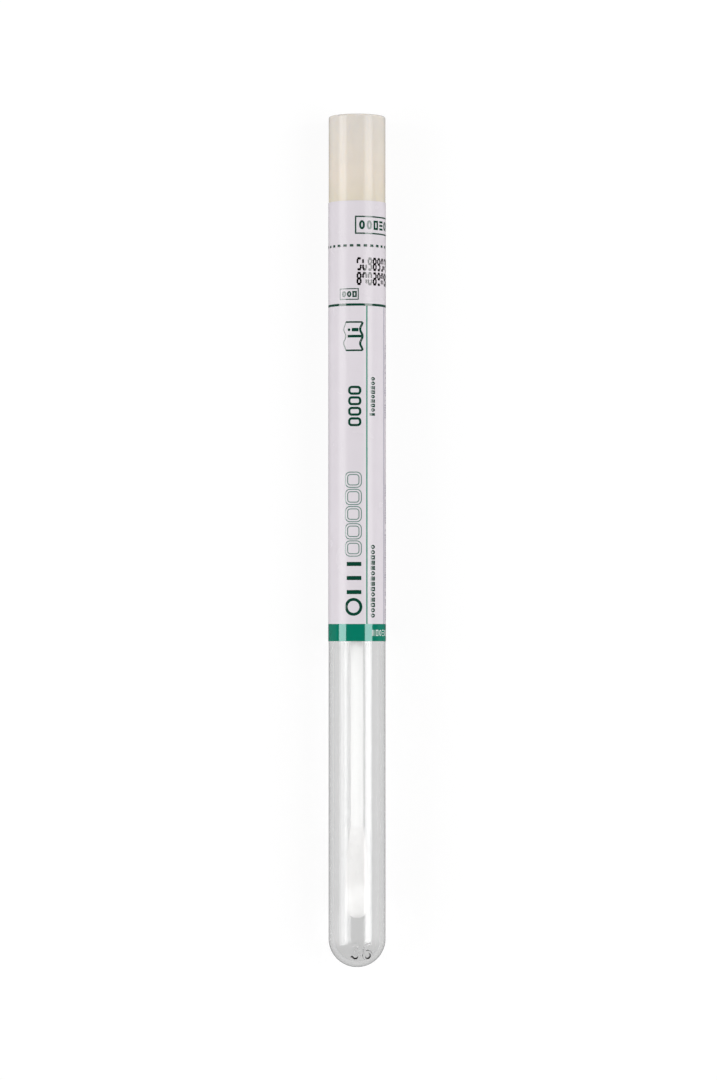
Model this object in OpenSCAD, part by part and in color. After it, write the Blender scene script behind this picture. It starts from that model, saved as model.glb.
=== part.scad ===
// Specimen swab tube: a round-bottomed tube closed by a plug cap that carries the swab.
// The pieces are drawn upright, foot of the tube at the origin and front of the label towards -X.
// They are then laid down together: foot towards -Y, cap towards +Y, front of the label up.

/* [Tube] */
// Length of the tube, foot to rim
tube_l = 150; // [90:1:200]
// Outer diameter of the tube
tube_d = 11.9; // [10:0.1:18]
// Wall of the tube at the mouth
mouth_wall = 0.9; // [0.7:0.05:1.2]
// Wall of the tube at the foot, thicker by the mould's draft
foot_wall = 1.1; // [0.8:0.05:1.5]
// Rounding of the rim's outer edge
rim_round = 0.3; // [0.1:0.05:0.4]
// Width of the lead-in chamfer inside the mouth
lead_in = 0.25; // [0.1:0.05:0.3]
// Height of the lead-in chamfer
lead_in_h = 0.5; // [0.2:0.1:1]

/* [Cap] */
// Height of the cap's head above the rim
head_h = 28.2; // [14:0.1:40]
// Rounding of the head's top edge
head_round = 0.4; // [0.2:0.1:1.2]
// Thickness of the cap's top
top_wall = 2; // [1:0.1:4]
// Depth of the plug inside the tube
plug_h = 10; // [6:0.5:16]
// Wall of the plug
plug_wall = 1.1; // [0.7:0.1:1.6]
// Height of the taper at the plug's end
plug_taper_h = 0.6; // [0.3:0.1:1.5]
// Width of the taper at the plug's end
plug_taper = 0.3; // [0.1:0.05:0.5]
// Narrowing of the cap's hollow towards the top
core_draft = 0.3; // [0:0.1:0.6]
// Number of sealing beads on the plug
beads = 2; // [1:1:3]
// How far a bead stands out of the plug
bead_rise = 0.2; // [0.1:0.05:0.3]
// Section radius of a bead
bead_r = 0.9; // [0.5:0.1:1.2]
// Number of ribs between the plug's wall and the stick's socket
ribs = 4; // [3:1:8]
// Thickness of a rib
rib_t = 0.8; // [0.5:0.1:1.2]
// Wall of the socket that holds the stick
socket_wall = 0.9; // [0.6:0.1:1.2]
// Depth of the socket, from the plug's end
socket_depth = 20; // [10:0.5:22]
// Width of the chamfer at the socket's mouth
socket_edge = 0.3; // [0.1:0.1:0.5]
// Diameter of the thin core above the socket, whose step stops the stick
relief_d = 1.5; // [0.8:0.1:1.7]
// Height that is left solid between that core and the cap's top
relief_end = 1; // [0.5:0.5:2]
// Diameter of the gate dimple in the cap's top
gate_d = 3; // [1:0.5:5]
// Depth of the gate dimple
gate_depth = 0.4; // [0.2:0.1:0.8]

/* [Swab] */
// Diameter of the stick
stick_d = 2.7; // [1.8:0.1:3]
// Chamfer at the stick's ends
stick_edge = 0.2; // [0.1:0.05:0.4]
// Diameter of the stick's spigot inside the bud
spigot_d = 1.7; // [1:0.1:1.8]
// Height over which the stick narrows to its spigot
shoulder_h = 2.5; // [1:0.5:4]
// Depth of that shoulder below the bud's upper end
shoulder_depth = 2; // [1:0.5:4]
// Height of the bud's tip above the foot of the tube
tip_h = 10.2; // [8:0.1:30]
// Largest diameter of the bud
bud_d = 4.8; // [3.6:0.1:6]
// Length of the bud
bud_l = 19; // [12:0.5:24]
// Height of the bud's largest diameter above its tip
belly_h = 5; // [4:0.1:8]
// Fibre past the end of the spigot
bud_tip = 1.8; // [1:0.1:3]
// Fibre left on the stick at the bud's upper end
bud_lip = 0.1; // [0.05:0.05:0.4]

/* [Label] */
// Height of the label's lower edge above the foot of the tube
label_h = 68.1; // [20:0.1:80]
// Height of the tear line above the tube's rim
tear_h = 0.5; // [0.3:0.1:1.5]
// How far the label reaches up the cap past the tear line
seal_h = 9.5; // [4:0.5:11]
// Thickness of the film
film = 0.08; // [0.05:0.01:0.15]
// Width of the bare strip between the film's two ends, down the back
bare_strip = 2.8; // [2.6:0.1:8]
// Number of perforation cuts in a full turn of the tear line
cuts = 26; // [12:1:40]
// Share of the tear line that is cut
cut_share = 0.69; // [0.4:0.01:0.8]
// Width of a cut along the tube
cut_w = 0.05; // [0.05:0.05:0.3]
// Turn of the first cut from the front
first_cut = 3; // [-6:0.5:6]

/* [Fits] */
// Radial clearance of the sealing beads in the bore
plug_clear = 0.05; // [0.02:0.01:0.1]
// Radial clearance of the stick in its socket and in the bud
stick_clear = 0.02; // [0.01:0.01:0.05]
// Adhesive between the film and what it is bonded to
glue = 0.01; // [0.01:0.01:0.03]
// Width of the chamfer at the cap's lower edge, inside the film that stands round it
collar_clear = 0.3; // [0.2:0.05:0.4]
// How far that chamfer runs past the tear line
collar_past = 0.1; // [0.05:0.05:0.3]

/* [Hidden] */
$fn = 96;
eps = 0.01;
past = 1;
tube_r = tube_d / 2;
mouth_r = tube_r - mouth_wall;
foot_r = tube_r - foot_wall;
cap_top = tube_l + head_h;
plug_foot = tube_l - plug_h;
plug_r = bore_r(plug_foot) - plug_clear - bead_rise;
bead_pitch = plug_h / (beads + 1);
core_r = plug_r - plug_wall;
core_top = cap_top - top_wall;
stick_r = stick_d / 2;
spigot_r = spigot_d / 2;
socket_r = stick_r + stick_clear;
socket_top = plug_foot + socket_depth;
boss_r = socket_r + socket_wall;
spigot_foot = tip_h + bud_tip;
bud_top = tip_h + bud_l;
shoulder_top = bud_top - shoulder_depth;
bud_r = bud_d / 2;
belly = tip_h + belly_h;
bud_top_r = stick_r + bud_lip;
// the bud's side is one arc, widest at the belly and bud_top_r at the upper end
bud_arc_r = ((bud_top - belly) ^ 2 + (bud_r - bud_top_r) ^ 2) / (2 * (bud_r - bud_top_r));
bud_tip_r = bud_side_r(tip_h + bud_r);
bud_tip_h = tip_h + bud_tip_r;
tear_line = tube_l + tear_h;
seal_top = tear_line + seal_h;
film_in = tube_r + glue;
film_out = film_in + film;
bare_deg = bare_strip / (2 * PI * film_in) * 360;
cut_l = cut_share * 2 * PI * film_out / cuts;
// turn of the label's front, opposite the back at 0
front = 180;
// the bare strip lies at the back, so the tube rests on its own wall and not on the film
rest_h = tube_r;

// Radius of the tapered bore at height z
function bore_r(z) = foot_r + (mouth_r - foot_r) * (z - tube_r) / (tube_l - tube_r);

// Radius of the bud's side at height z
function bud_side_r(z) = sqrt(bud_arc_r ^ 2 - (z - belly) ^ 2) - (bud_arc_r - bud_r);

// Lays the upright pieces on their back, the middle of their length at the origin
module laid() {
    translate([0, -cap_top / 2, rest_h])
        rotate([0, 90, 90])
            children();
}

// Turns a half section about the tube's axis
module turned() {
    rotate_extrude(convexity = 6)
        children();
}

// Strip of a half section, from the axis to radius r
module strip(r, low, high) {
    translate([0, low])
        square([r, high - low]);
}

// Round outer corner of a half section, at radius r and height h
module corner(r, h, round) {
    strip(r - round, h - round, h);
    translate([r - round, h - round])
        intersection() {
            circle(round);
            square(round);
        }
}

// Hemispherical foot of a half section, centred where the barrel starts
module foot(r) {
    translate([0, tube_r])
        intersection() {
            circle(r);
            translate([0, -r])
                square(r);
        }
}

module tube() {
    color("whitesmoke", 0.35)
        laid()
            turned()
                difference() {
                    tube_outline();
                    bore_outline();
                }
}

// Outside of the tube: round foot, straight barrel, rounded rim
module tube_outline() {
    foot(tube_r);
    strip(tube_r, tube_r, tube_l - rim_round);
    corner(tube_r, tube_l, rim_round);
}

// Inside of the tube: round foot, tapered bore, lead-in at the mouth
module bore_outline() {
    lead_in_foot = tube_l - lead_in_h;
    foot(foot_r);
    polygon([[0, tube_r], [foot_r, tube_r], [mouth_r, tube_l], [0, tube_l]]);
    polygon([
        [0, lead_in_foot],
        [bore_r(lead_in_foot), lead_in_foot],
        [mouth_r + lead_in, tube_l],
        [mouth_r + lead_in, tube_l + past],
        [0, tube_l + past]
    ]);
}

module cap() {
    color("antiquewhite")
        laid()
            difference() {
                union() {
                    turned()
                        difference() {
                            cap_outline();
                            core_outline();
                        }
                    socket_boss();
                }
                turned()
                    socket_outline();
                translate([0, 0, cap_top - gate_depth])
                    cylinder(d = gate_d, h = gate_depth + past);
            }
}

// Outside of the cap: tapered plug with its beads, chamfered lower edge, straight head, rounded top
module cap_outline() {
    polygon([
        [0, plug_foot],
        [plug_r - plug_taper, plug_foot],
        [plug_r, plug_foot + plug_taper_h],
        [plug_r, tube_l],
        [tube_r - collar_clear, tube_l],
        [tube_r, tear_line + collar_past],
        [tube_r, cap_top - head_round],
        [0, cap_top - head_round]
    ]);
    corner(tube_r, cap_top, head_round);
    for (i = [1:beads]) {
        bead_h = plug_foot + i * bead_pitch;
        translate([bore_r(bead_h) - plug_clear - bead_r, bead_h])
            circle(bead_r);
    }
}

// Hollow of the cap, open at the plug's end and drawn in towards the top
module core_outline() {
    polygon([
        [0, plug_foot - past],
        [core_r, plug_foot - past],
        [core_r, plug_foot],
        [core_r - core_draft, core_top],
        [0, core_top]
    ]);
}

// Boss round the stick's socket, and the ribs that carry it
module socket_boss() {
    translate([0, 0, plug_foot])
        cylinder(r = boss_r, h = core_top + eps - plug_foot);
    for (i = [0:ribs - 1])
        rotate([0, 0, (i + 0.5) * 360 / ribs])
            translate([0, -rib_t / 2, plug_foot + plug_taper_h])
                cube([core_r + plug_wall / 2, rib_t, core_top + eps - plug_foot - plug_taper_h]);
}

// Bore for the stick, chamfered at its mouth, with the thin core above its stop
module socket_outline() {
    strip(socket_r, plug_foot - past, socket_top);
    strip(relief_d / 2, socket_top - eps, core_top - relief_end);
    polygon([
        [0, plug_foot - eps],
        [socket_r + socket_edge, plug_foot - eps],
        [socket_r, plug_foot + socket_edge],
        [0, plug_foot + socket_edge]
    ]);
}

module swab_stick() {
    color("white")
        laid()
            turned()
                polygon([
                    [0, spigot_foot],
                    [spigot_r - stick_edge, spigot_foot],
                    [spigot_r, spigot_foot + stick_edge],
                    [spigot_r, shoulder_top - shoulder_h],
                    [stick_r, shoulder_top],
                    [stick_r, socket_top - stick_edge],
                    [stick_r - stick_edge, socket_top],
                    [0, socket_top]
                ]);
}

module swab_bud() {
    color("snow")
        laid()
            turned()
                difference() {
                    bud_outline();
                    spigot_hole_outline();
                }
}

// Outside of the bud: round tip, then one long arc up to the stick
module bud_outline() {
    intersection() {
        translate([0, bud_tip_h])
            circle(bud_tip_r);
        strip(bud_tip_r, tip_h, belly);
    }
    intersection() {
        translate([bud_r - bud_arc_r, belly])
            circle(bud_arc_r, $fn = 1440);
        strip(bud_r, bud_tip_h, bud_top);
    }
}

// Space inside the bud for the stick, its shoulder and its spigot
module spigot_hole_outline() {
    polygon([
        [0, spigot_foot - stick_clear],
        [spigot_r + stick_clear, spigot_foot - stick_clear],
        [spigot_r + stick_clear, shoulder_top - shoulder_h],
        [stick_r + stick_clear, shoulder_top],
        [stick_r + stick_clear, bud_top + past],
        [0, bud_top + past]
    ]);
}

module label() {
    color("lavenderblush")
        laid()
            difference() {
                wrap(label_h, tear_line);
                for (i = [0:cuts - 1])
                    rotate([0, 0, front + first_cut + i * 360 / cuts])
                        translate([film_in - past, -cut_l / 2, tear_line - cut_w])
                            cube([film + 2 * past, cut_l, cut_w + past]);
            }
}

module label_seal() {
    color("lavender")
        laid()
            wrap(tear_line, seal_top);
}

// Film wrapped round the tube from one side of the bare strip to the other
module wrap(low, high) {
    rotate([0, 0, bare_deg / 2])
        rotate_extrude(angle = 360 - bare_deg, convexity = 4)
            translate([film_in, low])
                square([film, high - low]);
}

tube();
cap();
swab_stick();
swab_bud();
label();
label_seal();
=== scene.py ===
"""Specimen swab tube: finishes, printed label, wound bud and stage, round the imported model."""

from collections import namedtuple
from math import atan2, ceil, cos, pi, radians, sin, sqrt, tan

import bmesh
import bpy
from bpy.props import FloatProperty, FloatVectorProperty, IntProperty, PointerProperty
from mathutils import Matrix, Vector


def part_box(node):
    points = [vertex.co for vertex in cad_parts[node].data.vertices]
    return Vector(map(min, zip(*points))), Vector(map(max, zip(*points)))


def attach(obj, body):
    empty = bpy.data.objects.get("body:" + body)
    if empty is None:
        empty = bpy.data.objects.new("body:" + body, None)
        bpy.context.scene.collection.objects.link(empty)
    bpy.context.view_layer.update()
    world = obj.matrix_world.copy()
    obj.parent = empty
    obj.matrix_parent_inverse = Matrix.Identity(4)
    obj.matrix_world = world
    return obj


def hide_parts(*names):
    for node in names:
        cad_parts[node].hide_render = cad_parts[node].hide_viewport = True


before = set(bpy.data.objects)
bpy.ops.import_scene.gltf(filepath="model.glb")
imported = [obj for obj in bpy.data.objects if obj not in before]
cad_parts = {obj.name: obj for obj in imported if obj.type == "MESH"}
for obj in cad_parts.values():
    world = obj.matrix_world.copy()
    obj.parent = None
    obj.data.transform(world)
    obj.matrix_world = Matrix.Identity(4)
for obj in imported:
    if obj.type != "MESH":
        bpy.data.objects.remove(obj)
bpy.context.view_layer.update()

bl_info = {
    "name": "Specimen Swab Tube",
    "version": (1, 0, 0),
    "blender": (4, 5, 0),
    "location": "3D View > Sidebar > Swab Tube",
    "description": "Finishes, printed label, wound bud and stage for a specimen swab in its tube",
    "category": "Object",
}

MM = 0.001
TUBE_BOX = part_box("tube")
CAP_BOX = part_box("cap")
LABEL_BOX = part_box("label")
SEAL_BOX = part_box("label_seal")
STICK_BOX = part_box("swab_stick")
BUD_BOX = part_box("swab_bud")

# The tube lies along Y on its own wall. Heights are measured along it from its foot.
FOOT_Y = TUBE_BOX[0].y
TUBE_R = TUBE_BOX[1].x
AXIS_Z = TUBE_R
TUBE_L = TUBE_BOX[1].y - FOOT_Y
LABEL_LOW = LABEL_BOX[0].y - FOOT_Y
TEAR_LINE = LABEL_BOX[1].y - FOOT_Y
SEAL_TOP = SEAL_BOX[1].y - FOOT_Y
FILM_R = LABEL_BOX[1].z - AXIS_Z
STICK_R = STICK_BOX[1].x
BUD_LOW = BUD_BOX[0].y - FOOT_Y
BUD_TOP = BUD_BOX[1].y - FOOT_Y
BUD_R = BUD_BOX[1].x

TUBE_BODY = "tube"
SWAB_BODY = "swab"


# ---------------------------------------------------------------- sizes and colours


def length(name, description, default):
    """A size in metres."""
    form = {"min": 0.0, "unit": "LENGTH", "subtype": "DISTANCE", "precision": 5}
    return FloatProperty(name=name, description=description, default=default, **form)


def share(name, description, default):
    """A share from 0 to 1."""
    form = {"min": 0.0, "max": 1.0, "subtype": "FACTOR"}
    return FloatProperty(name=name, description=description, default=default, **form)


def number(name, description, default):
    """A plain number."""
    return FloatProperty(name=name, description=description, default=default)


def turn(name, description, default):
    """An angle, given in degrees."""
    return FloatProperty(name=name, description=description, default=radians(default), subtype="ANGLE")


def count(name, description, default):
    """A number of things."""
    return IntProperty(name=name, description=description, default=default, min=1)


def linear(channel):
    """Scene value of a display colour's channel that runs from 0 to 255."""
    level = channel / 255
    return level / 12.92 if level <= 0.04045 else ((level + 0.055) / 1.055) ** 2.4


def colour(name, description, *channels):
    """A colour, given by its display channels from 0 to 255."""
    form = {"size": 3, "min": 0.0, "max": 1.0, "subtype": "COLOR"}
    shade = [linear(channel) for channel in channels]
    return FloatVectorProperty(name=name, description=description, default=shade, **form)


class SwabTubeGlass(bpy.types.PropertyGroup):
    """The clear moulded tube."""

    mouth_wall: length("Wall at the mouth", "Wall of the tube at its rim", 0.9 * MM)
    foot_wall: length("Wall at the foot", "Wall of the tube at its round foot", 1.1 * MM)
    rim_round: length("Rim rounding", "Rounding of the rim's outer edge", 0.3 * MM)
    lead_in: length("Lead-in", "Width of the chamfer inside the mouth", 0.25 * MM)
    lead_in_height: length("Lead-in height", "Height of the chamfer inside the mouth", 0.5 * MM)
    segments: count("Segments", "Faces round the tube", 384)
    relief: length("Number relief", "How far the mould number stands out of the foot", 0.32 * MM)
    number_across: length("Number across", "Middle of the mould number, to the right of the axis", 0.88 * MM)
    number_up: length("Number height", "Middle of the mould number, above the foot", 3.65 * MM)
    digit_height: length("Digit height", "Height of the mould number's digits", 3.35 * MM)
    digit_stroke: length("Digit stroke", "Width of the digits' strokes", 0.48 * MM)
    digit_edge: length("Digit edge", "Width over which a stroke rises from the wall", 0.1 * MM)
    tint: colour("Tint", "Colour of the clear plastic, seen straight on", 247, 247, 247)
    # The edge tint is painted light: the wall's flanks, seen edge on, get a lighter colour that stands in for
    # the brighter light there.
    painted_edge_light: colour("Edge tint", "Colour of the clear plastic, seen at its edge", 254, 254, 254)
    # The foot tint is painted shade: a darker colour in the round foot that stands in for the darker
    # surroundings seen through it.
    painted_foot_shade: colour("Foot tint", "Colour of the clear plastic in the foot", 241, 241, 241)
    refraction: number("Refraction", "Index of refraction of the plastic", 1.48)
    shine: share("Shine", "Share of the plastic's full reflection", 0.95)
    straight: share("Light straight on", "Lamp light that passes one face of the wall, straight on", 0.85)
    grazing: share("Light at the edge", "Lamp light that passes one face of the wall, edge on", 0.1)


class SwabTubeLabel(bpy.types.PropertyGroup):
    """The film and its print."""

    film: length("Film", "Thickness of the film", 0.07 * MM)
    ink: length("Ink", "Thickness of the ink", 0.005 * MM)
    bare_strip: length("Bare strip", "Width left bare down the back", 2.8 * MM)
    cuts: count("Cuts", "Perforation cuts in a full turn", 26)
    cuts_made: count("Cuts made", "Perforation cuts between the film's two ends", 24)
    cut_length: length("Cut length", "Length of one perforation cut", 1.0 * MM)
    cut_width: length("Cut width", "Width of one perforation cut", 0.05 * MM)
    first_cut: turn("First cut", "Turn of the first cut from the front", 3.0)
    dash_length: length("Dash length", "Length of the printed dashes on the tear line", 0.76 * MM)
    dash_below: length("Dash below", "How far the dashes reach below the tear line", 0.15 * MM)
    dash_above: length("Dash above", "How far the dashes reach above the tear line", 0.36 * MM)
    film_colour: colour("Film colour", "Colour of the film", 224, 218, 224)
    green: colour("Green ink", "Colour of the green ink", 0, 128, 104)
    green_gleam: colour("Green gleam", "Colour of the gloss on the green band", 222, 255, 255)
    dark_green: colour("Dark green ink", "Colour of the fine green print", 0, 68, 50)
    pale_green: colour("Pale green ink", "Colour of the thin outlines", 84, 130, 116)
    black: colour("Black ink", "Colour of the dot print", 8, 7, 7)
    white: colour("White ink", "Colour of the marks on the band", 232, 238, 236)
    blue_grey: colour("Blue-grey ink", "Colour of the fine print at the side", 132, 132, 156)


class SwabTubeSwab(bpy.types.PropertyGroup):
    """The wound bud on the stick's end."""

    belly: length("Belly", "Height of the bud's largest diameter above its tip", 5.0 * MM)
    lip: length("Lip", "Fibre left on the stick at the bud's upper end", 0.1 * MM)
    clearance: length("Clearance", "Clearance of the stick in the bud's end", 0.01 * MM)
    hollow: length("Hollow", "Depth of the bud's hollow round the stick", 1.5 * MM)
    hollow_point: length("Hollow's point", "How much deeper the hollow is at its middle", 0.1 * MM)
    strands: count("Strands", "Fibres wound round the bud", 320)
    strand_r: length("Strand radius", "Radius of one wound fibre", 0.028 * MM)
    strays: count("Stray fibres", "Fibres that stand off the bud", 16)
    stray_r: length("Stray radius", "Radius of one stray fibre", 0.01 * MM)
    stray_lift: length("Stray lift", "How far the stray fibres stand off the bud", 0.35 * MM)
    strand_turns: number("Strand turns", "Turns that a wound fibre makes round the bud", 0.8)
    strand_reach: share("Strand reach", "Share of the bud's height along which a wound fibre runs", 0.3)
    stray_turns: number("Stray turns", "Turns that a stray fibre makes round the bud", 0.25)
    stray_reach: share("Stray reach", "Share of the bud's height along which a stray fibre runs", 0.16)
    fibre_colour: colour("Fibre", "Colour of the fibre", 252, 251, 250)


class SwabTubeCap(bpy.types.PropertyGroup):
    """The cap's finish."""

    upper: colour("Upper colour", "Colour near the cap's top", 224, 218, 210)
    middle: colour("Middle colour", "Colour between the two, at the middle place", 230, 220, 207)
    lower: colour("Lower colour", "Colour near the label", 225, 216, 199)
    middle_place: share("Middle place", "Where the middle colour lies, from the label up", 0.3)


class SwabTubeStage(bpy.types.PropertyGroup):
    """Floor, lights and camera."""

    floor_reach: length("Floor reach", "How far the floor reaches from its middle", 4.0)
    floor_colour: colour("Floor", "Colour of the floor", 105, 105, 105)
    floor_in_gloss: colour("Floor in gloss", "Colour of the floor where gloss shows it", 55, 55, 55)
    floor_lift: share("Floor lift", "Light that only the view of the floor adds", 0.88)
    behind: share("White behind glass", "Share of the background's white that glass shows", 0.69)
    mirrored: share("White in gloss", "Share of the floor's white that gloss shows", 0.1)
    fill_sides: number("Side fill", "Soft light that the two sides add", 2.0)
    fill_right: share("Right fill", "How much stronger the soft light is from the right", 0.06)
    dim: share("Dim surround", "Strength of the surround that gloss shows", 0.03)
    left_glow: number("Left glow", "Radiance of the left softbox, 1 for white", 3.3)
    left_upper: turn("Left upper edge", "Angle of the left softbox's upper edge from straight up", 44.8)
    left_lower: turn("Left lower edge", "Angle of the left softbox's lower edge from straight up", 77.0)
    right_glow: number("Right glow", "Radiance of the right softbox, 1 for white", 3.2)
    right_upper: turn("Right upper edge", "Angle of the right softbox's upper edge from straight up", 31.5)
    right_lower: turn("Right lower edge", "Angle of the right softbox's lower edge from straight up", 63.0)
    softbox_distance: length("Softbox distance", "Distance of the softboxes from the tube", 800 * MM)
    softbox_low: length("Softbox low end", "Reach of the softboxes from the middle to the foot", 420 * MM)
    softbox_high: length("Softbox high end", "Reach of the softboxes from the middle to the cap", 240 * MM)
    end_glow: number("End glow", "Radiance of the low strip past the cap's end", 6.0)
    end_wide: length("End strip width", "Width of the low strip past the cap's end", 1200 * MM)
    end_tall: length("End strip height", "Height of the low strip past the cap's end", 140 * MM)
    camera_side: length("Camera side", "How far the camera stands to the right of the axis", 0.3 * MM)
    camera_distance: length("Camera distance", "Distance of the camera from the tube's axis", 820 * MM)
    camera_height: length("Camera place", "Height above the foot at which the camera stands", 70.4 * MM)
    aim_height: length("Aim", "Height above the foot at the middle of the view", 89.3 * MM)
    view_angle: turn("View angle", "Angle of view from the top of the frame to its bottom", 15.715)


# ---------------------------------------------------------------- meshes


def on_tube(angle, height, radius):
    """Point at an angle from the front, to the right, a height above the foot and a radius."""
    return Vector((radius * sin(angle), FOOT_Y + height, AXIS_Z + radius * cos(angle)))


def piece(mesh, name, material, body, node=None, sharp=35.0):
    """Links a mesh as a smooth-shaded piece with its material, body, slot and the node it stands for."""
    mesh.name = name
    mesh.shade_smooth()
    mesh.set_sharp_from_angle(angle=radians(sharp))
    mesh.materials.clear()
    mesh.materials.append(material)
    obj = bpy.data.objects.new(name, mesh)
    bpy.context.scene.collection.objects.link(obj)
    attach(obj, body)
    if node:
        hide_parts(node)
    return obj


def mesh_from(bm):
    """Mesh of a bmesh, which is freed."""
    mesh = bpy.data.meshes.new("mesh")
    bm.to_mesh(mesh)
    bm.free()
    return mesh


def turned(profile, segments):
    """Closed bmesh of a profile of (radius, height) pairs turned about the axis. Its ends lie on the axis."""
    bm = bmesh.new()
    rings = []
    for radius, height in profile:
        angles = [2 * pi * i / segments for i in range(segments)] if radius else [0.0]
        rings.append([bm.verts.new(on_tube(angle, height, radius)) for angle in angles])
    for low, high in zip(rings, rings[1:]):
        for i in range(segments):
            j = (i + 1) % segments
            corners = [low[i % len(low)], low[j % len(low)], high[j % len(high)], high[i % len(high)]]
            unique = list(dict.fromkeys(corners))
            if len(unique) > 2:
                bm.faces.new(unique)
    bmesh.ops.recalc_face_normals(bm, faces=bm.faces[:])
    return bm


def straight(start, end, steps):
    """Points from one point of the plane to another in equal steps, without the first."""
    (x, y), (far_x, far_y) = start, end
    return [(x + (far_x - x) * i / steps, y + (far_y - y) * i / steps) for i in range(1, steps + 1)]


def arc(centre, radius, start, end, steps):
    """Points on an arc in the plane, its angles in degrees from the first axis."""
    angles = [radians(start + (end - start) * i / steps) for i in range(steps + 1)]
    return [(centre[0] + radius * cos(a), centre[1] + radius * sin(a)) for a in angles]


def bow(centre, reach, start, end, steps=16):
    """Points on an elliptic arc with two radii, its angles in degrees."""
    unit = arc((0, 0), 1, start, end, steps)
    return [(centre[0] + x * reach[0], centre[1] + y * reach[1]) for x, y in unit]


# A digit's width, and half the distance between two digits, as shares of half a digit's height.
DIGIT_WIDTH = 0.95
DIGIT_SPACING = 0.74


def strokes_of_digit(digit):
    """Centre lines of a digit in a box 1 wide and 2 high."""
    if digit == 3:
        return [bow((0.5, 1.5), (0.45, 0.45), 150, -90), bow((0.5, 0.53), (0.5, 0.52), 90, -150)]
    if digit == 6:
        return [bow((0.5, 0.55), (0.48, 0.53), 0, 360, 24), bow((0.85, 0.6), (0.83, 1.35), 180, 95)]
    raise ValueError(f"no strokes for digit {digit}")


def distance_to(point, line):
    """Distance in the plane from a point to a chain of points."""
    x, y = point
    gaps = []
    for (ax, ay), (bx, by) in zip(line, line[1:]):
        dx, dy = bx - ax, by - ay
        along = ((x - ax) * dx + (y - ay) * dy) / (dx * dx + dy * dy)
        along = min(max(along, 0.0), 1.0)
        gaps.append(sqrt((x - ax - along * dx) ** 2 + (y - ay - along * dy) ** 2))
    return min(gaps)


def mesh_of_tree(tree, values):
    """Plain mesh that a geometry node tree gives with these inputs."""
    host = bpy.data.objects.new("host", bpy.data.meshes.new("host"))
    bpy.context.scene.collection.objects.link(host)
    modifier = host.modifiers.new("nodes", "NODES")
    modifier.node_group = tree
    sockets = {s.name: s.identifier for s in tree.interface.items_tree if s.in_out == "INPUT"}
    for name, value in values.items():
        modifier[sockets[name]] = value
    depsgraph = bpy.context.evaluated_depsgraph_get()
    depsgraph.update()
    mesh = bpy.data.meshes.new_from_object(host.evaluated_get(depsgraph))
    host.modifiers.remove(modifier)
    bpy.data.objects.remove(host)
    if not mesh.polygons:
        raise RuntimeError(f"the tree {tree.name} made no faces")
    return mesh


# ---------------------------------------------------------------- node helpers


FLOAT = "NodeSocketFloat"
INT = "NodeSocketInt"
COLOUR = "NodeSocketColor"
VECTOR = "NodeSocketVector"
SOLID = "NodeSocketGeometry"
MATERIAL = "NodeSocketMaterial"

# Inputs that the trees of flat marks share: where a row starts, its ink, the tube's radius and the material.
FLAT_MARKS = {
    "Across": 0.0,
    "Along": 0.0,
    "Ink": 0.005 * MM,
    "Radius": 6 * MM,
    "Material": MATERIAL,
}


class Wire:
    """What comes out of a node. Sums are written with it as with a number, and each is a Math node."""

    def __init__(self, tree, node, output=0):
        self.tree = tree
        self.node = node
        self.output = output

    @property
    def socket(self):
        """The node's socket, looked up when it is linked."""
        return self.node.outputs[self.output]

    def math(self, operation, *others):
        """Math node of this value and others."""
        values = dict(enumerate((self, *others)))
        return wire(self.tree, "ShaderNodeMath", values, operation=operation)

    def __add__(self, other):
        return self.math("ADD", other)

    def __sub__(self, other):
        return self.math("SUBTRACT", other)

    def __rsub__(self, other):
        return wire(self.tree, "ShaderNodeMath", {0: other, 1: self}, operation="SUBTRACT")

    def __mul__(self, other):
        return self.math("MULTIPLY", other)

    def __truediv__(self, other):
        return self.math("DIVIDE", other)


def add(tree, kind, inputs=None, **settings):
    """Adds a node, with its settings and its inputs as values or wires."""
    node = tree.nodes.new(kind)
    for key, value in settings.items():
        setattr(node, key, value)
    for key, value in (inputs or {}).items():
        if isinstance(value, Wire):
            tree.links.new(value.socket, node.inputs[key])
        else:
            node.inputs[key].default_value = value
    return node


def wire(tree, kind, inputs=None, output=0, **settings):
    """One output of a node that is added."""
    return Wire(tree, add(tree, kind, inputs, **settings), output)


def wires(tree, kind, inputs=None, **settings):
    """All outputs of a node that is added, by name."""
    node = add(tree, kind, inputs, **settings)
    return {socket.name: Wire(tree, node, socket.name) for socket in node.outputs}


def vector(tree, x=0.0, y=0.0, z=0.0):
    """Vector of three numbers."""
    return wire(tree, "ShaderNodeCombineXYZ", {"X": x, "Y": y, "Z": z})


def mix_colours(tree, factor, first, second, blend="MIX"):
    """Colour between two colours, or another blend of them."""
    inputs = {0: factor, 6: first, 7: second}
    return wire(tree, "ShaderNodeMix", inputs, 2, data_type="RGBA", blend_type=blend)


def mix_numbers(tree, factor, first, second):
    """Number between two numbers."""
    return wire(tree, "ShaderNodeMix", {"Factor": factor, "A": first, "B": second}, data_type="FLOAT")


def mapped(tree, value, low, high, first=0.0, last=1.0, **settings):
    """Number that runs from first to last as a value runs from low to high, and stays there past them."""
    inputs = {"Value": value, "From Min": low, "From Max": high, "To Min": first, "To Max": last}
    return wire(tree, "ShaderNodeMapRange", inputs, **settings)


def new_tree(kind, name, inputs, outputs):
    """Node tree with named sockets, its inputs as wires and the sockets of its output.

    An input is given by its default number, or by its type where it has no number.
    """
    tree = bpy.data.node_groups.new(name, kind)
    for label, default in inputs.items():
        form = {str: default, int: INT, float: FLOAT}[type(default)]
        made = tree.interface.new_socket(name=label, in_out="INPUT", socket_type=form)
        if form != default:
            made.default_value = default
    for label, form in outputs.items():
        tree.interface.new_socket(name=label, in_out="OUTPUT", socket_type=form)
    return tree, wires(tree, "NodeGroupInput"), tree.nodes.new("NodeGroupOutput").inputs


# ---------------------------------------------------------------- shader groups


def noise(tree, **inputs):
    """Value of a noise texture."""
    return wire(tree, "ShaderNodeTexNoise", inputs, "Fac")


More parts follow.
